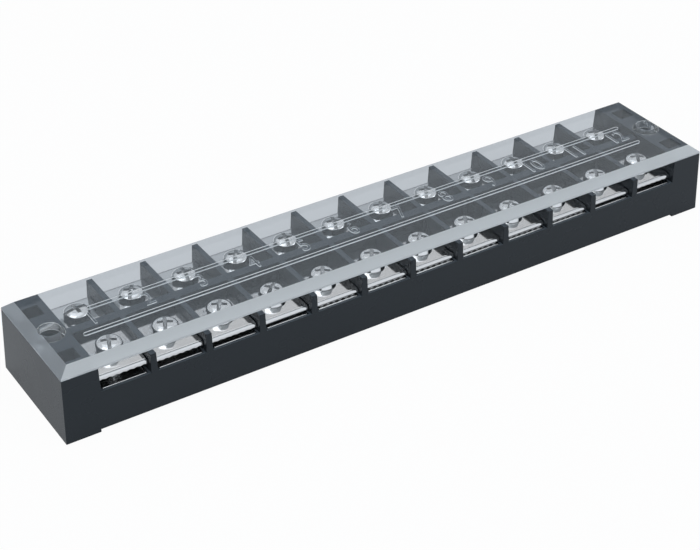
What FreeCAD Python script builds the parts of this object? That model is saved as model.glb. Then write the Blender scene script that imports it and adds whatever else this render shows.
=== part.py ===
import FreeCAD, Part
import os
import Sketcher

# Barrier terminal strip: twelve positions in two rows, with a clear snap-on cover.
# Millimetres. Origin at the bottom centre of the bounding box, +X along the row,
# +Y from the front row of screws to the rear row, +Z up.

SIZES = [
    ("terminals", "12", "positions along the row"),
    ("pitch", "9.5", "from one position to the next"),
    ("end_length", "5.5", "end block beyond the last position"),
    ("width", "22", "front face to rear face at the seat"),
    ("end_height", "11.4", "top of the end blocks, seat of the cover"),
    ("barrier_drop", "0.8", "barriers and centre wall below the seat"),
    ("sill_depth", "4.1", "floor between the barriers below the seat"),
    ("barrier_top", "1.0", "thickness of a barrier at its top"),
    ("barrier_foot", "1.2", "thickness of a barrier at the floor"),
    ("wall_thickness", "1.7", "centre wall between the two rows"),
    ("draft_angle", "2", "moulding draft of the outside in degrees"),
    ("foot_length", "5.4", "foot under each end, from the end of the cover"),
    ("foot_rise", "0.5", "relief of the underside between the feet"),
    ("hole_wall", "0.2", "wall between a counterbore and the lowered field"),
    ("hole_radius", "1.75", "mounting hole for an M3 screw"),
    ("core_spread", "6.5", "core-out pocket from the centreline"),
    ("core_inset", "3.3", "core-out pocket centre from the end"),
    ("core_length", "2.9", "core-out pocket along the row"),
    ("core_width", "2.8", "core-out pocket across the row"),
    ("core_depth", "6.0", "core-out pocket below the seat"),
    ("strip_inset", "0.4", "end of a contact strip back from the front face"),
    ("strip_side_gap", "0.45", "contact strip from the foot of a barrier"),
    ("strip_thickness", "1.0", "contact strip, top flush with the floor"),
    ("strip_play", "0.1", "gap around the contact strip"),
    ("well_side", "3.6", "square well under a screw"),
    ("well_floor", "1.5", "bottom of the well above the feet"),
    ("plate_front_gap", "1.2", "edge of a clamping plate back from the front face"),
    ("plate_wall_gap", "0.95", "clamping plate from the centre wall"),
    ("plate_side_gap", "0.3", "clamping plate from the foot of a barrier"),
    ("plate_thickness", "0.75", "clamping plate"),
    ("plate_bevel", "0.2", "broken top edge of the clamping plate"),
    ("plate_hole_play", "0.3", "clamping plate around the shank"),
    ("groove_count", "7", "gripping grooves under a plate"),
    ("groove_width", "0.7", "mouth of a gripping groove"),
    ("groove_depth", "0.25", "gripping groove"),
    ("closed_gap", "0.1", "plate above its strip when screwed down"),
    ("head_radius", "2.2", "screw head"),
    ("head_height", "1.8", "screw head"),
    ("head_clearance", "0.05", "screw head above its plate"),
    ("head_room", "0.1", "left under the cover when a screw is backed off"),
    ("shank_radius", "1.3", "corners of the shank, at the mean radius of the M3 thread"),
    ("tip_gap", "0.7", "screw tip above the bottom of the well when screwed down"),
    ("thread_play", "0.1", "thread hole in a contact strip around the shank"),
    ("slot_width", "0.75", "driver slot"),
    ("slot_depth", "0.6", "driver slot"),
    ("hidden_sides", "12", "sides of the shanks and of the holes they pass"),
    ("cover_height", "1.6", "clear cover plate"),
    ("cover_edge", "0.3", "upright edge of the cover below its bevels"),
    ("end_bevel", "1.7", "inset of the cover top at the ends"),
    ("side_bevel", "1.5", "inset of the cover top at front and rear"),
    ("rib_head_gap", "0.25", "cover rib from the screw heads"),
    ("rib_width", "0.7", "cover rib"),
    ("rib_depth", "0.7", "cover rib below the seat"),
    ("front_rib_start", "7.5", "front rib from the left end"),
    ("rear_rib_start", "10.9", "rear rib from the left end"),
    ("rib_end", "7.4", "both ribs from the right end"),
    ("collar_radius", "2.4", "collar around a mounting hole"),
    ("collar_depth", "3.0", "collar below the seat"),
    ("collar_play", "0.1", "gap around the collar"),
    ("collar_floor_gap", "0.2", "gap under the collar"),
    ("overrun", "1.0", "how far a cutting outline passes a face"),
    ("length", "=terminals * pitch + 2 * end_length", "over both end blocks at the seat"),
    ("half_length", "=length / 2", "worked out"),
    ("half_width", "=width / 2", "worked out"),
    ("half_wall", "=wall_thickness / 2", "worked out"),
    ("first_axis", "=-(terminals - 1) / 2 * pitch", "first position on X"),
    ("field_half", "=pitch * terminals / 2 - barrier_top / 2", "lowered field"),
    ("sill_height", "=end_height - sill_depth", "floor between the barriers"),
    ("barrier_height", "=end_height - barrier_drop", "top of the barriers"),
    ("counterbore_radius", "=collar_radius + collar_play", "worked out"),
    ("counterbore_depth", "=collar_depth + collar_floor_gap", "worked out"),
    ("hole_spot", "=field_half + hole_wall + counterbore_radius", "mounting hole on X"),
    ("core_spot", "=half_length - core_inset", "core-out pocket on X"),
    ("strip_length", "=width - 2 * strip_inset", "contact strip across the row"),
    ("strip_width", "=pitch - barrier_foot - 2 * strip_side_gap", "contact strip along the row"),
    ("plate_outer", "=half_width - plate_front_gap", "outer edge of a plate on Y"),
    ("plate_inner", "=half_wall + plate_wall_gap", "inner edge of a plate on Y"),
    ("plate_width", "=plate_outer - plate_inner", "clamping plate across the row"),
    ("plate_length", "=pitch - barrier_foot - 2 * plate_side_gap", "clamping plate along the row"),
    ("screw_spread", "=(plate_outer + plate_inner) / 2", "screw axis from the centreline"),
    ("plate_hole_radius", "=shank_radius + plate_hole_play", "worked out"),
    ("thread_hole_radius", "=shank_radius + thread_play", "worked out"),
    ("groove_pitch", "=plate_length / groove_count", "from one gripping groove to the next"),
    ("head_seat", "=closed_gap + plate_thickness + head_clearance", "head above the strip"),
    ("shank_length", "=sill_height + head_seat - well_floor - tip_gap", "below the head"),
    ("screw_travel", "=sill_depth - head_seat - head_height - head_room", "from closed to open"),
    ("rib_spread", "=screw_spread - head_radius - rib_head_gap - rib_width / 2", "rib from the centreline"),
    ("cover_top", "=end_height + cover_height", "worked out"),
    ("band_top", "=end_height + cover_edge", "worked out"),
]

# How far each screw is backed off for a wire, as a share of its travel. All others are closed.
LIFTS = {
    "front": {1: 0.85, 2: 0.6, 3: 0.4, 4: 0.15, 11: 0.15, 12: 0.4},
    "rear": {},
}

# Turn of each screw's slot in degrees, from left to right
TURNS = {
    "front": [69, 65, 57, 41, 57, 57, 50, 60, 45, 60, 60, 60],
    "rear": [5, 57, 80, 57, 75, 70, 57, 57, 72, 75, 50, 60],
}
SIDES = {"front": "-sizes.screw_spread", "rear": "sizes.screw_spread"}

doc = FreeCAD.newDocument("barrier_terminal_strip")
sizes = doc.addObject("Spreadsheet::Sheet", "sizes")


# Spreadsheet

def add_size(row, alias, value, note):
    sizes.set(f"A{row}", alias)
    sizes.set(f"B{row}", value)
    sizes.set(f"C{row}", note)
    sizes.setAlias(f"B{row}", alias)


def fill_sizes():
    for row, (alias, value, note) in enumerate(SIZES, start=1):
        add_size(row, alias, value, note)
    doc.recompute()


def positions():
    return range(1, int(sizes.get("terminals")) + 1)


def fill_screw_settings():
    row = len(SIZES)
    for side in SIDES:
        turns = TURNS[side]
        for number in positions():
            lift = LIFTS[side].get(number, 0)
            turn = turns[(number - 1) % len(turns)]
            add_size(row + 1, f"lift_{side}_{number}", str(lift), "share of the travel")
            add_size(row + 2, f"turn_{side}_{number}", str(turn), "turn of this screw in degrees")
            row += 2
    doc.recompute()


# Sketches and features

def new_body(name):
    body = doc.addObject("PartDesign::Body", name)
    body.Label = name
    return body


def new_sketch(body, name, role, level="0"):
    sketch = body.newObject("Sketcher::SketchObject", f"{body.Name}_{name}_outline")
    plane = [part for part in body.Origin.OriginFeatures if part.Role == role][0]
    sketch.AttachmentSupport = [(plane, "")]
    sketch.MapMode = "FlatFace"
    if level != "0":
        sketch.setExpression("AttachmentOffset.Base.z", level)
    return sketch


def pin(sketch, kind, geometry, point, expression):
    value = float(sizes.evalExpression(expression))
    index = sketch.addConstraint(Sketcher.Constraint(kind, -1, 1, geometry, point, value))
    sketch.setExpression(f"Constraints[{index}]", expression)


def polygon(sketch, corners):
    places = []
    for across, up in corners:
        x = float(sizes.evalExpression(across))
        y = float(sizes.evalExpression(up))
        places.append(FreeCAD.Vector(x, y, 0))
    first = sketch.GeometryCount
    count = len(corners)
    for step in range(count):
        sketch.addGeometry(Part.LineSegment(places[step], places[(step + 1) % count]))
    for step in range(count):
        following = first + (step + 1) % count
        sketch.addConstraint(Sketcher.Constraint("Coincident", first + step, 2, following, 1))
    for step, (across, up) in enumerate(corners):
        pin(sketch, "DistanceX", first + step, 1, across)
        pin(sketch, "DistanceY", first + step, 1, up)


def rectangle(sketch, left, right, low, high):
    polygon(sketch, [(left, low), (right, low), (right, high), (left, high)])


def circle(sketch, across, up, radius):
    x = float(sizes.evalExpression(across))
    y = float(sizes.evalExpression(up))
    size = float(sizes.evalExpression(radius))
    upright = FreeCAD.Vector(0, 0, 1)
    index = sketch.addGeometry(Part.Circle(FreeCAD.Vector(x, y, 0), upright, size))
    pin(sketch, "DistanceX", index, 3, across)
    pin(sketch, "DistanceY", index, 3, up)
    limit = sketch.addConstraint(Sketcher.Constraint("Radius", index, size))
    sketch.setExpression(f"Constraints[{limit}]", radius)


# Hidden round parts, such as a shank in its thread, are many-sided to keep the facets few

def many_sided(sketch, across, up, radius):
    corners = []
    for step in range(int(sizes.get("hidden_sides"))):
        turn = f"{step} * 360 deg / sizes.hidden_sides"
        corners.append((f"{across} + {radius} * cos({turn})", f"{up} + {radius} * sin({turn})"))
    polygon(sketch, corners)


def feature(body, kind, name, sketch):
    item = body.newObject(f"PartDesign::{kind}", f"{body.Name}_{name}")
    item.Profile = sketch
    sketch.Visibility = False
    body.Tip = item
    return item


def pad(body, name, sketch, height, down=False):
    item = feature(body, "Pad", name, sketch)
    item.Reversed = down
    item.setExpression("Length", height)
    return item


def pocket(body, name, sketch, depth, up=False):
    item = feature(body, "Pocket", name, sketch)
    item.Reversed = up
    item.setExpression("Length", depth)
    return item


def cut_across(body, name, sketch):
    item = feature(body, "Pocket", name, sketch)
    item.SideType = "Symmetric"
    item.Type = "ThroughAll"
    return item


def row_pattern(body, name, originals, sketch, spacing, count):
    item = body.newObject("PartDesign::LinearPattern", f"{body.Name}_{name}")
    item.Originals = originals
    item.Direction = (sketch, ["H_Axis"])
    item.Mode = "Spacing"
    item.setExpression("Offset", spacing)
    item.setExpression("Occurrences", count)
    body.Tip = item
    return item


# Black moulded base

def base_housing():
    body = new_body("base_housing")

    sketch = new_sketch(body, "block", "XY_Plane", "sizes.end_height")
    rectangle(sketch, "-sizes.half_length", "sizes.half_length", "-sizes.half_width", "sizes.half_width")
    block = pad(body, "block", sketch, "sizes.end_height", down=True)
    block.setExpression("TaperAngle", "sizes.draft_angle")

    beyond = "sizes.half_width + sizes.overrun"
    sketch = new_sketch(body, "field", "XY_Plane", "sizes.end_height")
    rectangle(sketch, "-sizes.field_half", "sizes.field_half", f"-({beyond})", beyond)
    pocket(body, "field", sketch, "sizes.end_height - sizes.barrier_height")

    sketch = new_sketch(body, "slot", "XZ_Plane")
    top = "(sizes.pitch - sizes.barrier_top) / 2"
    foot = "(sizes.pitch - sizes.barrier_foot) / 2"
    polygon(sketch, [
        (f"sizes.first_axis - {foot}", "sizes.sill_height"),
        (f"sizes.first_axis + {foot}", "sizes.sill_height"),
        (f"sizes.first_axis + {top}", "sizes.barrier_height"),
        (f"sizes.first_axis - {top}", "sizes.barrier_height"),
    ])
    slot = cut_across(body, "slot", sketch)
    row_pattern(body, "slots", [slot], sketch, "sizes.pitch", "sizes.terminals")

    sketch = new_sketch(body, "wall", "XY_Plane", "sizes.sill_height")
    rectangle(sketch, "-sizes.field_half", "sizes.field_half", "-sizes.half_wall", "sizes.half_wall")
    pad(body, "wall", sketch, "sizes.barrier_height - sizes.sill_height")

    sketch = new_sketch(body, "channel", "XY_Plane", "sizes.sill_height")
    across = "(sizes.strip_width / 2 + sizes.strip_play)"
    along = "sizes.strip_length / 2 + sizes.strip_play"
    rectangle(sketch, f"sizes.first_axis - {across}", f"sizes.first_axis + {across}", f"-({along})", along)
    channel = pocket(body, "channel", sketch, "sizes.strip_thickness")
    row_pattern(body, "channels", [channel], sketch, "sizes.pitch", "sizes.terminals")

    sketch = new_sketch(body, "well", "XY_Plane", "sizes.sill_height")
    reach = "sizes.well_side / 2"
    for side in SIDES.values():
        rectangle(
            sketch,
            f"sizes.first_axis - {reach}",
            f"sizes.first_axis + {reach}",
            f"{side} - {reach}",
            f"{side} + {reach}",
        )
    well = pocket(body, "well", sketch, "sizes.sill_height - sizes.well_floor")
    row_pattern(body, "wells", [well], sketch, "sizes.pitch", "sizes.terminals")

    sketch = new_sketch(body, "counterbore", "XY_Plane", "sizes.end_height")
    for end in ("-sizes.hole_spot", "sizes.hole_spot"):
        circle(sketch, end, "0", "sizes.counterbore_radius")
    pocket(body, "counterbore", sketch, "sizes.counterbore_depth")

    sketch = new_sketch(body, "hole", "XY_Plane", "sizes.end_height")
    for end in ("-sizes.hole_spot", "sizes.hole_spot"):
        circle(sketch, end, "0", "sizes.hole_radius")
    pocket(body, "hole", sketch, "sizes.end_height + sizes.overrun")

    sketch = new_sketch(body, "core", "XY_Plane", "sizes.end_height")
    long = "sizes.core_length / 2"
    wide = "sizes.core_width / 2"
    for end in ("-sizes.core_spot", "sizes.core_spot"):
        for spread in ("-sizes.core_spread", "sizes.core_spread"):
            rectangle(sketch, f"{end} - {long}", f"{end} + {long}", f"{spread} - {wide}", f"{spread} + {wide}")
    pocket(body, "core", sketch, "sizes.core_depth")

    sketch = new_sketch(body, "relief", "XY_Plane")
    stop = "sizes.half_length - sizes.foot_length"
    rectangle(sketch, f"-({stop})", stop, f"-({beyond})", beyond)
    pocket(body, "relief", sketch, "sizes.foot_rise", up=True)
    return body


# Contact strips, one under each position, held in the floor of the base

def contact_strips():
    body = new_body("contact_strips")
    sketch = new_sketch(body, "strip", "XY_Plane", "sizes.sill_height")
    half = "sizes.strip_width / 2"
    along = "sizes.strip_length / 2"
    rectangle(sketch, f"sizes.first_axis - {half}", f"sizes.first_axis + {half}", f"-{along}", along)
    for side in SIDES.values():
        many_sided(sketch, "sizes.first_axis", side, "sizes.thread_hole_radius")
    strip = pad(body, "strip", sketch, "sizes.strip_thickness", down=True)
    row_pattern(body, "strips", [strip], sketch, "sizes.pitch", "sizes.terminals")
    return body


# Clear cover with bevelled edges, two stiffening ribs and two collars

def clear_cover():
    body = new_body("clear_cover")

    sketch = new_sketch(body, "plate", "XY_Plane", "sizes.end_height")
    rectangle(sketch, "-sizes.half_length", "sizes.half_length", "-sizes.half_width", "sizes.half_width")
    pad(body, "plate", sketch, "sizes.cover_height")

    for name, role, half, inset in (
        ("ends", "XZ_Plane", "sizes.half_length", "sizes.end_bevel"),
        ("sides", "YZ_Plane", "sizes.half_width", "sizes.side_bevel"),
    ):
        sketch = new_sketch(body, name, role)
        for sign in ("-", ""):
            polygon(sketch, [
                (f"{sign}{half}", "sizes.band_top"),
                (f"{sign}{half}", "sizes.cover_top"),
                (f"{sign}({half} - {inset})", "sizes.cover_top"),
            ])
        cut_across(body, name, sketch)

    sketch = new_sketch(body, "rib", "XY_Plane", "sizes.end_height")
    ends = new_sketch(body, "rib_end", "XY_Plane", "sizes.end_height")
    wide = "sizes.rib_width / 2"
    right = f"sizes.half_length - sizes.rib_end - {wide}"
    for spread, start in (
        ("-sizes.rib_spread", "sizes.front_rib_start"),
        ("sizes.rib_spread", "sizes.rear_rib_start"),
    ):
        left = f"{start} - sizes.half_length + {wide}"
        rectangle(sketch, left, right, f"{spread} - {wide}", f"{spread} + {wide}")
        circle(ends, left, spread, wide)
        circle(ends, right, spread, wide)
    pad(body, "rib", sketch, "sizes.rib_depth", down=True)
    pad(body, "rib_end", ends, "sizes.rib_depth", down=True)

    sketch = new_sketch(body, "collar", "XY_Plane", "sizes.end_height")
    for end in ("-sizes.hole_spot", "sizes.hole_spot"):
        circle(sketch, end, "0", "sizes.collar_radius")
    pad(body, "collar", sketch, "sizes.collar_depth", down=True)

    sketch = new_sketch(body, "hole", "XY_Plane", "sizes.cover_top")
    for end in ("-sizes.hole_spot", "sizes.hole_spot"):
        circle(sketch, end, "0", "sizes.hole_radius")
    pocket(body, "hole", sketch, "sizes.cover_height + sizes.collar_depth + sizes.overrun")
    return body


# Clamping plate, drawn about its screw with the underside at zero

def clamp_plate(side, number):
    body = new_body(f"clamp_plate_{side}_{number}")

    sketch = new_sketch(body, "section", "YZ_Plane")
    half = "sizes.plate_width / 2"
    flat = "(sizes.plate_width / 2 - sizes.plate_bevel)"
    shoulder = "sizes.plate_thickness - sizes.plate_bevel"
    polygon(sketch, [
        (f"-{half}", "0"),
        (half, "0"),
        (half, shoulder),
        (flat, "sizes.plate_thickness"),
        (f"-{flat}", "sizes.plate_thickness"),
        (f"-{half}", shoulder),
    ])
    section = pad(body, "section", sketch, "sizes.plate_length")
    section.SideType = "Symmetric"

    sketch = new_sketch(body, "groove", "XZ_Plane")
    first = "-(sizes.groove_count - 1) / 2 * sizes.groove_pitch"
    polygon(sketch, [
        (f"{first} - sizes.groove_width / 2", "0"),
        (f"{first} + sizes.groove_width / 2", "0"),
        (first, "sizes.groove_depth"),
    ])
    groove = cut_across(body, "groove", sketch)
    row_pattern(body, "grooves", [groove], sketch, "sizes.groove_pitch", "sizes.groove_count")

    sketch = new_sketch(body, "hole", "XY_Plane", "sizes.plate_thickness")
    many_sided(sketch, "0", "0", "sizes.plate_hole_radius")
    pocket(body, "hole", sketch, "sizes.plate_thickness + sizes.overrun")

    place(body, side, number, f"sizes.sill_height + sizes.closed_gap + {backed_off(side, number)}")
    return body


# Terminal screw, drawn about its axis with the underside of the head at zero

def terminal_screw(side, number):
    body = new_body(f"terminal_screw_{side}_{number}")

    sketch = new_sketch(body, "head", "XY_Plane")
    circle(sketch, "0", "0", "sizes.head_radius")
    pad(body, "head", sketch, "sizes.head_height")

    sketch = new_sketch(body, "shank", "XY_Plane")
    many_sided(sketch, "0", "0", "sizes.shank_radius")
    pad(body, "shank", sketch, "sizes.shank_length", down=True)

    sketch = new_sketch(body, "slot", "XY_Plane", "sizes.head_height")
    reach = "sizes.head_radius + sizes.overrun"
    wide = "sizes.slot_width / 2"
    rectangle(sketch, f"-({reach})", reach, f"-{wide}", wide)
    pocket(body, "slot", sketch, "sizes.slot_depth")

    place(body, side, number, f"sizes.sill_height + sizes.head_seat + {backed_off(side, number)}")
    body.setExpression("Placement.Rotation.Angle", f"sizes.turn_{side}_{number}")
    return body


def backed_off(side, number):
    return f"sizes.lift_{side}_{number} * sizes.screw_travel"


def place(body, side, number, level):
    body.Placement = FreeCAD.Placement(FreeCAD.Vector(), FreeCAD.Rotation(FreeCAD.Vector(0, 0, 1), 1))
    body.setExpression("Placement.Rotation.Angle", "0")
    body.setExpression("Placement.Base.x", f"sizes.first_axis + {number - 1} * sizes.pitch")
    body.setExpression("Placement.Base.y", SIDES[side])
    body.setExpression("Placement.Base.z", level)


def build():
    fill_sizes()
    fill_screw_settings()
    bodies = [base_housing(), contact_strips(), clear_cover()]
    for side in SIDES:
        for number in positions():
            bodies.append(clamp_plate(side, number))
            bodies.append(terminal_screw(side, number))
    doc.recompute()
    return bodies


def check(bodies):
    for item in doc.Objects:
        if "Invalid" in item.State or "Error" in item.State:
            raise RuntimeError(f"{item.Name} did not rebuild")
    for body in bodies:
        if body.Shape.isNull() or not body.Shape.isValid():
            raise RuntimeError(f"{body.Name} has no sound shape")


def export(bodies):
    os.makedirs("parts", exist_ok=True)
    for body in bodies:
        body.Shape.exportStep(f"parts/{body.Label}.step")
        print(body.Label, round(body.Shape.Volume, 3), len(body.Shape.Solids))


built = build()
check(built)
export(built)
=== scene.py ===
import math

import bmesh
import bpy
from mathutils import Matrix, Vector


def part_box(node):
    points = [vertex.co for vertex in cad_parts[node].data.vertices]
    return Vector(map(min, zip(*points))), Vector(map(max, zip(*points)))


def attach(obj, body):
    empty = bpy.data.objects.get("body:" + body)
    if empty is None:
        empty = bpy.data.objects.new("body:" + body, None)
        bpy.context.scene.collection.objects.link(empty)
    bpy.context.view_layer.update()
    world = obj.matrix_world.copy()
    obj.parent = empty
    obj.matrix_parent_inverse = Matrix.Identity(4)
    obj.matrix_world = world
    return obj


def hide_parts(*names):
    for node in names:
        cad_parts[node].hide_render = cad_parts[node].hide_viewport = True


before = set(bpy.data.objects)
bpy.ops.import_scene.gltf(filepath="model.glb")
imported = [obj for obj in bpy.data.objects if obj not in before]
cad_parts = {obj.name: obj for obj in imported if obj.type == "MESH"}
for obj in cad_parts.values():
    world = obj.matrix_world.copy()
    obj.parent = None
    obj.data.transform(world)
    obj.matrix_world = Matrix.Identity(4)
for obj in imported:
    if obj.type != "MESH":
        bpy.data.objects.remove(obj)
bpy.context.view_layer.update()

# Barrier terminal strip with a clear cover. Sizes are in millimetres and
# are brought to metres by mm where a mesh or an object takes them. Angles
# are in degrees. A limit on a face's tilt is the upward part of its normal,
# which is 1 for a top, 0 for an upright wall and -1 for an underside.

mm = 0.001
weld = 0.0005 * mm  # points closer than this are one
flatAngle = 0.5  # facets that differ by less are one face
white = (1.0, 1.0, 1.0, 1.0)
rowSides = {"front": -1, "rear": 1}
positions = 12

print("frame loaded with", len(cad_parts), "nodes")


# camera, floor and light

cameraSetup = {
    "place": (-132.35, -195.22, 160.18),
    "turn": (56.04, -0.27, -32.90),
    "lens": 85.7,
    "sensor": 36.0,
    "near": 1.0,
    "far": 10000.0,
}

studio = {
    "floorSize": 4000.0,
    "floorDrop": 0.02,  # hides the floor from the faces of the feet
    "floorColour": (0.675, 0.70, 0.73, 1.0),
    "floorGlow": 0.96,
    "floorMirrored": 0.35,  # share of the white floor that shows in mirrors
    "floorThrough": 0.25,  # and through clear plastic
    "skyColour": (0.90, 0.95, 1.0, 1.0),
    "skyFill": 0.58,
    "skyDimBelow": 0.34,  # mirrored sky: dim near the horizon, full from skyFullAbove up
    "skyFullAbove": 0.66,
    "skyDim": 0.30,
    "skyMirrored": 0.95,
    "frontFrom": 0.45,  # mirrored sky: a bright panel in front of the strip
    "frontFull": 0.75,
    "frontMirrored": 0.98,
    "lampColour": (0.96, 0.985, 1.0),
}

lamps = [
    # name, place, aim, width, height, power
    ("keyLamp", (-560, -200, 690), (0, 0, 5), 700, 700, 2.3),
    ("topLamp", (-60, 60, 800), (0, 0, 5), 800, 800, 1.2),
    ("frontLamp", (620, -560, 300), (30, 0, 5), 700, 300, 2.0),
]


def addCamera():
    data = bpy.data.cameras.new("camera")
    data.lens = cameraSetup["lens"]
    data.sensor_width = cameraSetup["sensor"]
    data.clip_start = cameraSetup["near"] * mm
    data.clip_end = cameraSetup["far"] * mm
    camera = bpy.data.objects.new("camera", data)
    camera.location = Vector(cameraSetup["place"]) * mm
    camera.rotation_euler = [math.radians(angle) for angle in cameraSetup["turn"]]
    bpy.context.scene.collection.objects.link(camera)
    bpy.context.scene.camera = camera


def addLamp(name, place, aim, width, height, power):
    data = bpy.data.lights.new(name, "AREA")
    data.shape = "RECTANGLE"
    data.size = width * mm
    data.size_y = height * mm
    data.energy = power
    data.color = studio["lampColour"]
    lamp = bpy.data.objects.new(name, data)
    lamp.location = Vector(place) * mm
    lamp.rotation_euler = (Vector(aim) - Vector(place)).to_track_quat("-Z", "Y").to_euler()
    lamp.visible_glossy = False  # metal mirrors the pale studio, not the lamps
    bpy.context.scene.collection.objects.link(lamp)


def newNodes(material):
    material.use_nodes = True
    nodes = material.node_tree.nodes
    nodes.clear()
    return nodes, material.node_tree.links


def maths(nodes, links, operation, *given):
    node = nodes.new("ShaderNodeMath")
    node.operation = operation
    for socket, value in zip(node.inputs, given):
        if isinstance(value, (int, float)):
            socket.default_value = value
        else:
            links.new(value, socket)
    return node.outputs[0]


def ramp(nodes, links, source, start, end, low, high):
    # low before start, high after end and a straight change between
    node = nodes.new("ShaderNodeMapRange")
    for name, value in (("From Min", start), ("From Max", end), ("To Min", low), ("To Max", high)):
        node.inputs[name].default_value = value
    links.new(source, node.inputs["Value"])
    return node.outputs[0]


def mixShaders(nodes, links, share, first, second):
    mix = nodes.new("ShaderNodeMixShader")
    for socket, source in zip(mix.inputs, (share, first, second)):
        links.new(source, socket)
    return mix.outputs[0]


def backdropRays(nodes, links, mirrored, through):
    # the share of the white backdrop that a ray sees: all of it when it comes straight from the camera
    path = nodes.new("ShaderNodeLightPath")
    gloss = maths(nodes, links, "MULTIPLY", path.outputs["Is Glossy Ray"], mirrored)
    glass = maths(nodes, links, "MULTIPLY", path.outputs["Is Transmission Ray"], through)
    either = maths(nodes, links, "MAXIMUM", gloss, glass)
    return maths(nodes, links, "MAXIMUM", path.outputs["Is Camera Ray"], either)


def mirroredSky(nodes, links):
    # a soft box overhead and a panel in front, as metal and clear plastic show them
    heading = nodes.new("ShaderNodeTexCoord")
    parts = nodes.new("ShaderNodeSeparateXYZ")
    links.new(heading.outputs["Generated"], parts.inputs[0])
    overhead = ramp(
        nodes, links, parts.outputs["Z"], studio["skyDimBelow"], studio["skyFullAbove"],
        studio["skyDim"], studio["skyMirrored"],
    )
    panel = ramp(
        nodes, links, parts.outputs["Y"], -studio["frontFrom"], -studio["frontFull"],
        0.0, studio["frontMirrored"],
    )
    return maths(nodes, links, "MAXIMUM", overhead, panel)


def addSky():
    world = bpy.data.worlds.new("studioSky")
    bpy.context.scene.world = world
    nodes, links = newNodes(world)
    seen = nodes.new("ShaderNodeBackground")
    seen.inputs["Color"].default_value = white
    seen.inputs["Strength"].default_value = 1.0
    fill = nodes.new("ShaderNodeBackground")
    fill.inputs["Color"].default_value = studio["skyColour"]
    path = nodes.new("ShaderNodeLightPath")
    level = nodes.new("ShaderNodeMix")
    level.data_type = "FLOAT"
    links.new(path.outputs["Is Glossy Ray"], level.inputs[0])
    level.inputs[2].default_value = studio["skyFill"]
    links.new(mirroredSky(nodes, links), level.inputs[3])
    links.new(level.outputs[0], fill.inputs["Strength"])
    share = backdropRays(nodes, links, 0.0, 1.0)
    out = nodes.new("ShaderNodeOutputWorld")
    links.new(mixShaders(nodes, links, share, fill.outputs[0], seen.outputs[0]), out.inputs["Surface"])


def addFloor():
    bm = bmesh.new()
    bmesh.ops.create_grid(bm, x_segments=1, y_segments=1, size=studio["floorSize"] * mm / 2)
    bmesh.ops.translate(bm, verts=bm.verts, vec=(0, 0, -studio["floorDrop"] * mm))
    floor = addPiece("studioFloor", bm)
    material = bpy.data.materials.new("paleFloor")
    nodes, links = newNodes(material)
    matt = nodes.new("ShaderNodeBsdfDiffuse")
    matt.inputs["Color"].default_value = studio["floorColour"]
    glow = nodes.new("ShaderNodeEmission")
    glow.inputs["Color"].default_value = white
    glow.inputs["Strength"].default_value = 1.0
    seen = backdropRays(nodes, links, studio["floorMirrored"], studio["floorThrough"])
    share = maths(nodes, links, "MULTIPLY", seen, studio["floorGlow"])
    out = nodes.new("ShaderNodeOutputMaterial")
    links.new(mixShaders(nodes, links, share, matt.outputs[0], glow.outputs[0]), out.inputs["Surface"])
    floor.data.materials.append(material)


# mesh helpers

def addPiece(name, bm):
    mesh = bpy.data.meshes.new(name)
    bm.to_mesh(mesh)
    bm.free()
    piece = bpy.data.objects.new(name, mesh)
    bpy.context.scene.collection.objects.link(piece)
    return piece


def giveMaterials(piece, materials):
    for material in materials:
        piece.data.materials.append(material)


def cadCopy(node):
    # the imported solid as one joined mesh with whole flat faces
    bm = bmesh.new()
    bm.from_mesh(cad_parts[node].data)
    bm.transform(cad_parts[node].matrix_basis)
    bmesh.ops.remove_doubles(bm, verts=bm.verts, dist=weld)
    bmesh.ops.dissolve_limit(
        bm, angle_limit=math.radians(flatAngle), verts=bm.verts, edges=bm.edges,
        use_dissolve_boundaries=False,
    )
    return bm


def sharpEdges(bm, degrees):
    limit = math.radians(degrees)
    return [edge for edge in bm.edges if len(edge.link_faces) == 2 and edge.calc_face_angle(0) > limit]


def roundEdges(bm, edges, size, segments):
    bmesh.ops.bevel(
        bm, geom=edges, offset=size * mm, offset_type="OFFSET", segments=segments,
        profile=0.5, affect="EDGES", clamp_overlap=True, material=-1,
    )


def shadeByAngle(bm, degrees):
    for face in bm.faces:
        face.smooth = True
    for edge in sharpEdges(bm, degrees):
        edge.smooth = False


def flattenNormals(piece):
    # large flat faces keep their own normal, so that only the rounded edges between them shade
    modifier = piece.modifiers.new("flatFaces", "WEIGHTED_NORMAL")
    modifier.mode = "FACE_AREA"
    modifier.weight = 100
    modifier.keep_sharp = True


def cut(piece, cutter):
    # takes the cutter's shape out of the piece's mesh
    modifier = piece.modifiers.new("cut", "BOOLEAN")
    modifier.object = cutter
    modifier.operation = "DIFFERENCE"
    modifier.solver = "EXACT"
    graph = bpy.context.evaluated_depsgraph_get()
    mesh = bpy.data.meshes.new_from_object(piece.evaluated_get(graph))
    piece.modifiers.clear()
    piece.data = mesh
    bpy.data.objects.remove(cutter)


def boxCutter(width, depth, height, up, taper=1.0):
    # taper is the share of the width and depth that is left at the bottom
    bm = bmesh.new()
    bmesh.ops.create_cube(bm, size=1.0)
    bottom = [vert for vert in bm.verts if vert.co.z < 0]
    bmesh.ops.scale(bm, verts=bottom, vec=(taper, taper, 1))
    bmesh.ops.scale(bm, verts=bm.verts, vec=Vector((width, depth, height)) * mm)
    bmesh.ops.translate(bm, verts=bm.verts, vec=Vector((0, 0, up)) * mm)
    return addPiece("cutter", bm)


def roundCutter(radius, low, high, segments):
    bm = bmesh.new()
    bmesh.ops.create_cone(
        bm, cap_ends=True, segments=segments, radius1=radius * mm, radius2=radius * mm,
        depth=(high - low) * mm,
    )
    bmesh.ops.translate(bm, verts=bm.verts, vec=Vector((0, 0, (low + high) / 2)) * mm)
    return addPiece("cutter", bm)


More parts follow.
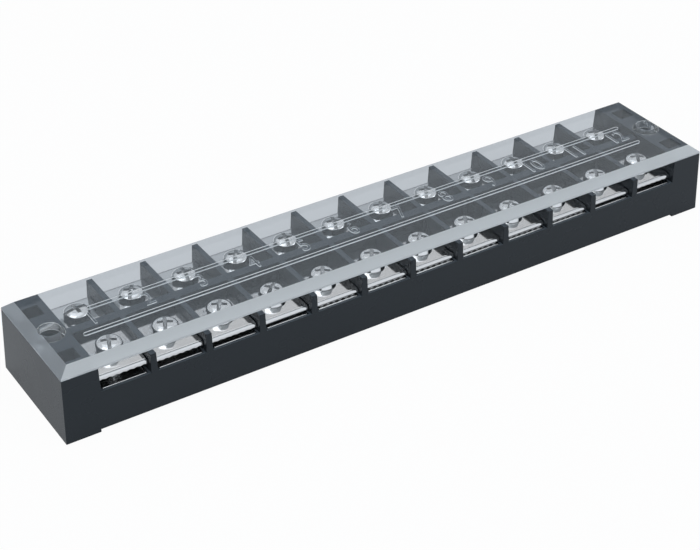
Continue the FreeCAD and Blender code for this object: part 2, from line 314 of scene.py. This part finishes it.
def middle(node):
    low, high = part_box(node)
    return (low + high) / 2


# shared shader groups

grainTexture = {
    "grainDetail": 3.0,
    "cloudScale": 90.0,
    "cloudDetail": 4.0,
}

wearTexture = {
    "stretch": (180.0, 2600.0, 900.0),  # scratches run along X
    "lineDetail": 2.0,
    "cloudScale": 320.0,
    "cloudDetail": 3.0,
}


def newGroup(name, inputs):
    # every shared group puts out a height for the bump and a roughness
    group = bpy.data.node_groups.new(name, "ShaderNodeTree")
    for socket in inputs:
        group.interface.new_socket(name=socket, in_out="INPUT", socket_type="NodeSocketFloat")
    for socket in ("Height", "Roughness"):
        group.interface.new_socket(name=socket, in_out="OUTPUT", socket_type="NodeSocketFloat")
    given = group.nodes.new("NodeGroupInput")
    put = group.nodes.new("NodeGroupOutput")
    place = group.nodes.new("ShaderNodeTexCoord")
    return group, given.outputs, put.inputs, place.outputs["Object"]


def noise(group, place, detail):
    node = group.nodes.new("ShaderNodeTexNoise")
    node.inputs["Detail"].default_value = detail
    group.links.new(place, node.inputs["Vector"])
    return node


def cloudyRoughness(group, place, look, amount, roughness):
    cloud = noise(group, place, look["cloudDetail"])
    cloud.inputs["Scale"].default_value = look["cloudScale"]
    centred = maths(group.nodes, group.links, "SUBTRACT", cloud.outputs["Fac"], 0.5)
    return maths(group.nodes, group.links, "MULTIPLY_ADD", centred, amount, roughness)


def mouldGrainGroup():
    # fine spark-eroded texture of a moulding: height and a little roughness change
    group, given, put, place = newGroup("mouldGrain", ("Grain Scale", "Roughness", "Variation"))
    grain = noise(group, place, grainTexture["grainDetail"])
    group.links.new(given["Grain Scale"], grain.inputs["Scale"])
    group.links.new(grain.outputs["Fac"], put["Height"])
    rough = cloudyRoughness(group, place, grainTexture, given["Variation"], given["Roughness"])
    group.links.new(rough, put["Roughness"])
    return group


def platingWearGroup():
    # plating: cloudy roughness, faint scratches along one axis
    group, given, put, place = newGroup("platingWear", ("Roughness", "Scratches"))
    stretch = group.nodes.new("ShaderNodeMapping")
    stretch.inputs["Scale"].default_value = wearTexture["stretch"]
    group.links.new(place, stretch.inputs["Vector"])
    lines = noise(group, stretch.outputs["Vector"], wearTexture["lineDetail"])
    lines.inputs["Scale"].default_value = 1.0
    group.links.new(lines.outputs["Fac"], put["Height"])
    rough = cloudyRoughness(group, place, wearTexture, given["Scratches"], given["Roughness"])
    group.links.new(rough, put["Roughness"])
    return group


# materials

blackFinishAndLight = {
    "blackMoulding": {"colour": (0.0135, 0.016, 0.019, 1.0), "specular": 0.32, "roughness": 0.27},
    # painted shade: a duller black for the core-outs, holes and wells, where shade falls
    "blackRecessShade": {"colour": (0.0135, 0.016, 0.019, 1.0), "specular": 0.12, "roughness": 0.75},
    # painted light: a lighter black for the upward tops, lit from above
    "blackLitTop": {"colour": (0.060, 0.071, 0.084, 1.0), "specular": 0.32, "roughness": 0.42},
}

mouldFinish = {
    "specularTint": (0.80, 0.91, 1.0, 1.0),
    "variation": 0.10,
    "grainScale": 2600.0,
    "height": 0.010,  # of the grain
    "strength": 0.02,
}

metalFinishAndShade = {
    # colour, roughness, scratches, height of the scratches
    "plateNickel": ((0.73, 0.735, 0.74, 1.0), 0.09, 0.03, 0.0004),
    "screwNickel": ((0.97, 0.975, 0.98, 1.0), 0.07, 0.06, 0.01),
    # painted shade: a darker metal for the screws' recesses
    "screwRecessShade": ((0.44, 0.445, 0.45, 1.0), 0.25, 0.10, 0.02),
    "stripTin": ((0.88, 0.89, 0.89, 1.0), 0.24, 0.10, 0.01),
}

metalBump = 0.1

clearFinish = {
    "colour": (0.70, 0.725, 0.75, 1.0),
    "ior": 1.49,
    "roughness": 0.02,
    "specularTint": (0.76, 0.89, 1.0, 1.0),
    "shadowTint": (0.80, 0.83, 0.85, 1.0),
}

clearEdgePaintedLight = {
    # painted light: these pale greys stand in for the light that the cover's bevels, walls and collar show,
    # and the end bevels get a darker grey than the side bevels, shaded by the way they face; glow is a
    # painted glow that stands in for the light a thin clear edge gathers
    "side": {"colour": (0.57, 0.60, 0.62, 1.0), "roughness": 0.35, "transmission": 0.25, "glow": 0.0},
    "end": {"colour": (0.35, 0.38, 0.41, 1.0), "roughness": 0.30, "transmission": 0.45, "glow": 0.0},
    "wall": {"colour": (0.94, 0.96, 0.97, 1.0), "roughness": 0.25, "transmission": 0.05, "glow": 0.25},
    "collar": {"colour": (0.82, 0.85, 0.87, 1.0), "roughness": 0.04, "transmission": 0.85, "glow": 0.0},
}


def letLightThrough(nodes, links, shader):
    # lamps and bounced light pass straight through the clear moulding
    path = nodes.new("ShaderNodeLightPath")
    either = maths(nodes, links, "MAXIMUM", path.outputs["Is Shadow Ray"], path.outputs["Is Diffuse Ray"])
    passing = nodes.new("ShaderNodeBsdfTransparent")
    passing.inputs["Color"].default_value = clearFinish["shadowTint"]
    return mixShaders(nodes, links, either, shader.outputs[0], passing.outputs[0])


def principled(name, values, passesLight=False):
    material = bpy.data.materials.new(name)
    nodes, links = newNodes(material)
    shader = nodes.new("ShaderNodeBsdfPrincipled")
    for socket, value in values.items():
        shader.inputs[socket].default_value = value
    surface = letLightThrough(nodes, links, shader) if passesLight else shader.outputs[0]
    out = nodes.new("ShaderNodeOutputMaterial")
    links.new(surface, out.inputs["Surface"])
    return material, shader


def roughen(material, shader, group, values, strength, height):
    # one shared group drives the roughness and the bump
    nodes, links = material.node_tree.nodes, material.node_tree.links
    shared = nodes.new("ShaderNodeGroup")
    shared.node_tree = group
    for socket, value in values.items():
        shared.inputs[socket].default_value = value
    bump = nodes.new("ShaderNodeBump")
    bump.inputs["Strength"].default_value = strength
    bump.inputs["Distance"].default_value = height * mm
    links.new(shared.outputs["Height"], bump.inputs["Height"])
    links.new(bump.outputs[0], shader.inputs["Normal"])
    links.new(shared.outputs["Roughness"], shader.inputs["Roughness"])


def blackPlastic(name, group):
    finishAndLight = blackFinishAndLight[name]
    material, shader = principled(name, {
        "Base Color": finishAndLight["colour"],
        "Specular IOR Level": finishAndLight["specular"],
        "Specular Tint": mouldFinish["specularTint"],
    })
    values = {
        "Grain Scale": mouldFinish["grainScale"],
        "Roughness": finishAndLight["roughness"],
        "Variation": mouldFinish["variation"],
    }
    roughen(material, shader, group, values, mouldFinish["strength"], mouldFinish["height"])
    return material


def plating(name, group):
    colour, roughness, scratches, height = metalFinishAndShade[name]
    material, shader = principled(name, {"Base Color": colour, "Metallic": 1.0})
    roughen(material, shader, group, {"Roughness": roughness, "Scratches": scratches}, metalBump, height)
    return material


def clearPlastic():
    return principled("clearMoulding", {
        "Base Color": clearFinish["colour"],
        "Transmission Weight": 1.0,
        "IOR": clearFinish["ior"],
        "Roughness": clearFinish["roughness"],
        "Specular Tint": clearFinish["specularTint"],
    }, passesLight=True)[0]


def clearEdge(part):
    # painted light: bevels, ribs and walls get an even pale grey that stands in for the light they gather
    # from the whole plate
    finishAndLight = clearEdgePaintedLight[part]
    material, shader = principled("clear" + part.capitalize(), {
        "Base Color": finishAndLight["colour"],
        "Transmission Weight": finishAndLight["transmission"],
        "IOR": clearFinish["ior"],
        "Roughness": finishAndLight["roughness"],
    }, passesLight=True)
    # painted glow: an emission on a clear part that is no lamp
    if finishAndLight["glow"]:
        shader.inputs["Emission Color"].default_value = finishAndLight["colour"]
        shader.inputs["Emission Strength"].default_value = finishAndLight["glow"]
    return material


# black base

baseLook = {
    "sharpAngle": 40,
    "smoothAngle": 25,
    "edge": 0.10,
    "segments": 2,
    "airGap": 0.03,
    "fieldEnd": 56.6,  # the end blocks begin here
    "wellTop": 6.25,  # lower faces inside the flanks belong to the wells
    "pocketInset": 1.2,  # how far the core-outs lie inside the flanks
    "pocketDrop": 0.15,  # a core-out's faces lie this far under the top
    "floorHeight": 1.0,  # lower faces belong to the underside
    "litTopTilt": 0.9,
}


def addBase(blacks):
    look = baseLook
    bm = cadCopy("base_housing")
    roundEdges(bm, sharpEdges(bm, look["sharpAngle"]), look["edge"], look["segments"])
    shadeByAngle(bm, look["smoothAngle"])
    low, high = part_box("base_housing")
    for vert in bm.verts:  # the cover rests on a rough face, so air shows between the two
        if vert.co.z > high.z - look["edge"] * mm:
            vert.co.z -= look["airGap"] * mm
    sideX, sideY = high.x - look["pocketInset"] * mm, high.y - look["pocketInset"] * mm
    underside = low.z + look["floorHeight"] * mm
    for face in bm.faces:  # the core-outs, holes and wells get a duller, matt black: painted shade for the shade that falls in them
        place = face.calc_center_median()
        inEnd = abs(place.x) > look["fieldEnd"] * mm and place.z > underside
        pocket = inEnd and abs(place.x) < sideX and abs(place.y) < sideY
        well = not inEnd and place.z < look["wellTop"] * mm and abs(place.y) < sideY
        if (pocket and place.z < high.z - look["pocketDrop"] * mm) or (well and place.z > underside):
            face.material_index = list(blacks).index("blackRecessShade")
        # upward tops get the lighter black: painted light
        elif face.normal.z > look["litTopTilt"] and place.z > look["wellTop"] * mm:
            face.material_index = list(blacks).index("blackLitTop")
    base = addPiece("baseHousing", bm)
    flattenNormals(base)
    giveMaterials(base, blacks.values())
    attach(base, "base")
    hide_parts("base_housing")
    print("base", len(base.data.polygons), "faces")


# contact strips

stripLook = {
    "sharpAngle": 60,
    "smoothAngle": 25,
    "edge": 0.28,
    "segments": 4,
}


def addStrips(metal):
    look = stripLook
    bm = cadCopy("contact_strips")
    roundEdges(bm, sharpEdges(bm, look["sharpAngle"]), look["edge"], look["segments"])
    shadeByAngle(bm, look["smoothAngle"])
    strips = addPiece("contactStrips", bm)
    flattenNormals(strips)
    giveMaterials(strips, [metal])
    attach(strips, "base")
    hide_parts("contact_strips")
    print("strips", len(strips.data.polygons), "faces")


# clamping plates

plateLook = {
    "width": 8.2,  # front to back
    "outward": 0.3,  # the plate's middle lies this far outside its screw
    "thickness": 0.79,
    "grooves": 7,
    "groovePitch": 1.15,
    "grooveDepth": 0.15,
    "lip": 0.58,  # radius of the rolled edge that faces out
    "innerLip": 0.15,
    "lipSegments": 6,
    "rows": 2,
    "holeRadius": 1.45,
    "holeSegments": 40,
    "holeReach": (-1.0, 2.0),
    "sharpAngle": 40,
    "smoothAngle": 35,
    "nearby": 0.0001,  # how exactly an edge lies on the rim's line
}


def plateBlank():
    # a zigzag underside, pulled up to a flat top that is rounded at the front and rear
    look = plateLook
    bm = bmesh.new()
    columns = 2 * look["grooves"]
    bmesh.ops.create_grid(bm, x_segments=columns, y_segments=look["rows"], size=0.5)
    length = look["groovePitch"] * look["grooves"]
    bmesh.ops.scale(bm, verts=bm.verts, vec=(length * mm, look["width"] * mm, 1))
    step = look["groovePitch"] / 2 * mm
    for vert in bm.verts:
        column = round(vert.co.x / step + look["grooves"])
        if column % 2:
            vert.co.z = look["grooveDepth"] * mm
    raised = bmesh.ops.extrude_face_region(bm, geom=bm.faces[:])
    for vert in (item for item in raised["geom"] if isinstance(item, bmesh.types.BMVert)):
        vert.co.z = look["thickness"] * mm
    bmesh.ops.recalc_face_normals(bm, faces=bm.faces)
    for end, lip in ((-look["width"] / 2, look["lip"]), (look["width"] / 2, look["innerLip"])):
        line = Vector((end, look["thickness"])) * mm
        rim = [
            edge for edge in sharpEdges(bm, look["sharpAngle"])
            if all((vert.co.yz - line).length < look["nearby"] * mm for vert in edge.verts)
        ]
        roundEdges(bm, rim, lip, look["lipSegments"])
    bmesh.ops.translate(bm, verts=bm.verts, vec=(0, -look["outward"] * mm, 0))
    blank = addPiece("plateBlank", bm)
    cut(blank, roundCutter(look["holeRadius"], *look["holeReach"], look["holeSegments"]))
    return blank


def addPlates(metal):
    blank = plateBlank()
    aboutFace = Matrix.Rotation(math.pi, 3, "Z")
    for side, way in rowSides.items():
        for number in range(1, positions + 1):
            node = f"clamp_plate_{side}_{number}"
            bm = bmesh.new()
            bm.from_mesh(blank.data)
            if way > 0:
                bmesh.ops.rotate(bm, verts=bm.verts, cent=(0, 0, 0), matrix=aboutFace)
            place = middle(node)
            place.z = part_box(node)[0].z
            bmesh.ops.translate(bm, verts=bm.verts, vec=place)
            shadeByAngle(bm, plateLook["smoothAngle"])
            plate = addPiece(f"clampPlate.{side}{number}", bm)
            flattenNormals(plate)
            giveMaterials(plate, [metal])
            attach(plate, f"plate_{side}_{number}")
            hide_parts(node)
    bpy.data.objects.remove(blank)
    print("plates done")


# terminal screws

screwLook = {
    "headRadius": 2.2,
    "headHeight": 1.8,
    "footBevel": 0.12,
    "sideHeight": 0.95,
    "sideTop": 2.12,  # radius where the slanted side meets the rounded shoulder
    "shoulderSteps": 6,
    "crownRadius": 0.95,
    "crownDrop": 0.10,
    "slotWidth": 0.60,
    "slotDepth": 0.55,
    "slotOver": 0.5,  # the cutter stands this far out of the head's sides
    "crossLength": 2.9,
    "crossWidth": 0.72,
    "crossDepth": 1.25,
    "crossTaper": 0.25,  # the recess narrows to this share at its bottom
    "crossAbove": 0.1,  # and its top stands this far out
    "recessMargin": 0.06,
    "recessFloor": 0.1,
    "threadOuter": 1.34,
    "threadCore": 1.10,
    "threadPitch": 0.5,
    "threadSteps": 20,
    "threadSpare": 3,  # turns that are trimmed off
    "threadWeld": 0.005,
    "shankTop": 0.2,  # inside the head
    "shankLength": 6.0,
    "steps": 48,
    "smoothAngle": 35,
}

slotTurns = {
    # how far each screw's slot is turned from the length of the strip
    "front": [69, 65, 57, 41, 57, 57, 50, 60, 45, 60, 60, 60],
    "rear": [5, 57, 80, 57, 75, 70, 57, 57, 72, 75, 50, 60],
}


def headProfile():
    look = screwLook
    bevel = look["footBevel"]
    points = [(0, 0), (look["headRadius"] - bevel, 0), (look["headRadius"], bevel)]
    points.append((look["sideTop"], look["sideHeight"]))
    shoulder = look["headHeight"] - look["crownDrop"]
    for step in range(1, look["shoulderSteps"] + 1):  # the rounded shoulder is a quarter ellipse
        angle = math.radians(90 * step / look["shoulderSteps"])
        across = look["crownRadius"] + (look["sideTop"] - look["crownRadius"]) * math.cos(angle)
        up = look["sideHeight"] + (shoulder - look["sideHeight"]) * math.sin(angle)
        points.append((across, up))
    points.append((look["crownRadius"] / 2, look["headHeight"] - look["crownDrop"] / 4))
    points.append((0, look["headHeight"]))
    return points


def markRecess(mesh):
    # what lies under the dome belongs to the recess and gets a darker, duller metal: painted shade for the
    # shade inside the recess
    look = screwLook
    shoulder = look["headHeight"] - look["crownDrop"]
    margin = look["recessMargin"]
    for face in mesh.polygons:
        across, up = math.hypot(face.center.x, face.center.y) / mm, face.center.z / mm
        beyond = min(max((across - look["crownRadius"]) / (look["sideTop"] - look["crownRadius"]), 0), 1)
        dome = look["sideHeight"] + (shoulder - look["sideHeight"]) * math.sqrt(1 - beyond ** 2)
        if across < look["sideTop"] - margin and look["recessFloor"] < up < dome - margin:
            face.material_index = 1


def profileLine(bm, points):
    verts = [bm.verts.new((across * mm, 0, up * mm)) for across, up in points]
    return verts + [bm.edges.new(pair) for pair in zip(verts, verts[1:])]


def spunPiece(name, points, steps):
    bm = bmesh.new()
    bmesh.ops.spin(
        bm, geom=profileLine(bm, points), cent=(0, 0, 0), axis=(0, 0, 1), angle=math.tau, steps=steps,
        use_merge=True,
    )
    bmesh.ops.remove_doubles(bm, verts=bm.verts, dist=weld)
    bmesh.ops.recalc_face_normals(bm, faces=bm.faces)
    return addPiece(name, bm)


def threadedShank(bm):
    # one thread tooth wound down the shank, trimmed and closed at both ends
    look = screwLook
    pitch = look["threadPitch"]
    turns = round(look["shankLength"] / pitch) + look["threadSpare"]
    start = 2 * pitch
    tooth = [
        (look["threadCore"], start),
        (look["threadOuter"], start - pitch / 2),
        (look["threadCore"], start - pitch),
    ]
    bmesh.ops.spin(
        bm, geom=profileLine(bm, tooth), cent=(0, 0, 0), axis=(0, 0, 1), angle=math.tau * turns,
        dvec=(0, 0, -pitch * mm / look["threadSteps"]), steps=look["threadSteps"] * turns, use_merge=False,
    )
    bmesh.ops.remove_doubles(bm, verts=bm.verts, dist=look["threadWeld"] * mm)
    for height, way in ((look["shankTop"], 1), (-look["shankLength"], -1)):
        bmesh.ops.bisect_plane(
            bm, geom=bm.verts[:] + bm.edges[:] + bm.faces[:], plane_co=(0, 0, height * mm),
            plane_no=(0, 0, way), clear_outer=True,
        )
    bmesh.ops.holes_fill(bm, edges=bm.edges, sides=0)
    bmesh.ops.recalc_face_normals(bm, faces=bm.faces)


def screwBlank():
    look = screwLook
    head = spunPiece("screwBlank", headProfile(), look["steps"])
    top = look["headHeight"]
    wide = 2 * (look["headRadius"] + look["slotOver"])
    cut(head, boxCutter(wide, look["slotWidth"], 2 * look["slotDepth"], top))
    up = top + look["crossAbove"] - look["crossDepth"] / 2
    for arm in ((look["crossWidth"], look["crossLength"]), (look["crossLength"], look["crossWidth"])):
        cut(head, boxCutter(*arm, look["crossDepth"], up, look["crossTaper"]))
    markRecess(head.data)
    bm = bmesh.new()
    threadedShank(bm)
    bm.from_mesh(head.data)
    bm.to_mesh(head.data)
    bm.free()
    return head


def addScrews(metal, recess):
    blank = screwBlank()
    for side in rowSides:
        for number in range(1, positions + 1):
            node = f"terminal_screw_{side}_{number}"
            bm = bmesh.new()
            bm.from_mesh(blank.data)
            turn = Matrix.Rotation(math.radians(slotTurns[side][number - 1]), 4, "Z")
            bmesh.ops.transform(bm, verts=bm.verts, matrix=turn)
            place = middle(node)
            place.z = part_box(node)[1].z - screwLook["headHeight"] * mm
            bmesh.ops.translate(bm, verts=bm.verts, vec=place)
            shadeByAngle(bm, screwLook["smoothAngle"])
            screw = addPiece(f"terminalScrew.{side}{number}", bm)
            flattenNormals(screw)
            giveMaterials(screw, [metal, recess])
            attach(screw, f"screw_{side}_{number}")
            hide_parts(node)
    bpy.data.objects.remove(blank)
    print("screws done")


# clear cover

coverLook = {
    "sharpAngle": 30,
    "smoothAngle": 25,
    "edge": 0.10,
    "segments": 2,
    "seat": 11.4,
    "ribStart": 0.1,  # what hangs lower than this under the seat is a rib
    "ribDepth": 0.28,
    "collarStart": 56.0,
    "collarDrop": 0.2,
    "bevelX": 60.75,  # the bevels begin outside these distances
    "bevelY": 9.45,
    "bevelTilt": (-0.2, 0.95),
    "wallTilt": 0.7,
    "slantTilt": (0.15, 0.95),
}


def coverPart(face):
    # which material a face of the cover shows: the clear moulding, or a painted-light grey for its bevels,
    # walls and collar
    look = coverLook
    place, tilt = face.calc_center_median(), face.normal.z
    least, most = look["bevelTilt"]
    outside = abs(place.y) > look["bevelY"] * mm or abs(place.x) > look["bevelX"] * mm
    nearRim = place.z > look["seat"] * mm and outside
    if nearRim and least < tilt < most:
        return "side" if abs(face.normal.y) > abs(face.normal.x) else "end"
    atHole = abs(place.x) > look["collarStart"] * mm and not nearRim
    if atHole and (abs(tilt) < look["wallTilt"] or place.z < (look["seat"] - look["collarDrop"]) * mm):
        least, most = look["slantTilt"]
        return "wall" if least < abs(tilt) < most else "collar"
    if place.z < look["seat"] * mm and abs(tilt) < look["wallTilt"]:
        return "wall"
    return "clear"


def addCover(clears):
    look = coverLook
    bm = cadCopy("clear_cover")
    for vert in bm.verts:  # the ribs are shallow, so that their walls show as thin lines
        if abs(vert.co.x) < look["collarStart"] * mm and vert.co.z < (look["seat"] - look["ribStart"]) * mm:
            vert.co.z = (look["seat"] - look["ribDepth"]) * mm
    roundEdges(bm, sharpEdges(bm, look["sharpAngle"]), look["edge"], look["segments"])
    shadeByAngle(bm, look["smoothAngle"])
    for face in bm.faces:
        face.material_index = list(clears).index(coverPart(face))
    cover = addPiece("clearCover", bm)
    flattenNormals(cover)
    giveMaterials(cover, clears.values())
    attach(cover, "cover")
    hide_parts("clear_cover")
    print("cover", len(cover.data.polygons), "faces")


# position numbers, raised from the underside of the cover

numberLook = {
    "height": 3.5,
    "fontShare": 1.38,  # size of the font against the height of its digits
    "spacing": 0.95,
    "curveSteps": 4,
    "middleY": 0.15,
    "raise": 0.18,
    "gap": 0.01,
    "shift": 0.2,
    "squeeze": 0.82,
    "wallTilt": 0.7,
}


def numberMesh(number):
    look = numberLook
    curve = bpy.data.curves.new("number", "FONT")
    curve.body = str(number)
    curve.align_x = "CENTER"
    curve.align_y = "CENTER"
    curve.size = look["height"] * look["fontShare"] * mm
    curve.extrude = look["raise"] / 2 * mm
    curve.space_character = look["spacing"]
    curve.resolution_u = look["curveSteps"]
    text = bpy.data.objects.new("number", curve)
    bpy.context.scene.collection.objects.link(text)
    graph = bpy.context.evaluated_depsgraph_get()
    mesh = bpy.data.meshes.new_from_object(text.evaluated_get(graph))
    bpy.data.objects.remove(text)
    return mesh


def addNumbers(clear, wall):
    look = numberLook
    numbers = bmesh.new()
    up = coverLook["seat"] - look["raise"] / 2 - look["gap"]
    for number in range(1, positions + 1):
        mesh = numberMesh(number)
        across = middle(f"clamp_plate_rear_{number}").x / mm + look["shift"]
        place = Matrix.Translation(Vector((across, look["middleY"], up)) * mm)
        mesh.transform(place @ Matrix.Diagonal((look["squeeze"], 1, 1, 1)))
        numbers.from_mesh(mesh)
    bmesh.ops.remove_doubles(numbers, verts=numbers.verts, dist=weld)
    bmesh.ops.recalc_face_normals(numbers, faces=numbers.faces)
    for face in numbers.faces:
        # the digits' walls take the cover walls' painted pale grey and painted glow
        face.material_index = 1 if abs(face.normal.z) < look["wallTilt"] else 0
    piece = addPiece("positionNumbers", numbers)
    giveMaterials(piece, [clear, wall])
    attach(piece, "cover")
    print("numbers done")


bpy.context.scene.view_settings.view_transform = "Standard"
addCamera()
addSky()
addFloor()
for lamp in lamps:
    addLamp(*lamp)
print("studio ready")

grainGroup = mouldGrainGroup()
wearGroup = platingWearGroup()
blackMaterials = {name: blackPlastic(name, grainGroup) for name in blackFinishAndLight}
metals = {name: plating(name, wearGroup) for name in metalFinishAndShade}
clearMaterials = {"clear": clearPlastic()}
for part in clearEdgePaintedLight:
    clearMaterials[part] = clearEdge(part)
print("materials ready")

addBase(blackMaterials)
addStrips(metals["stripTin"])
addPlates(metals["plateNickel"])
addScrews(metals["screwNickel"], metals["screwRecessShade"])
addCover(clearMaterials)
addNumbers(clearMaterials["clear"], clearMaterials["wall"])
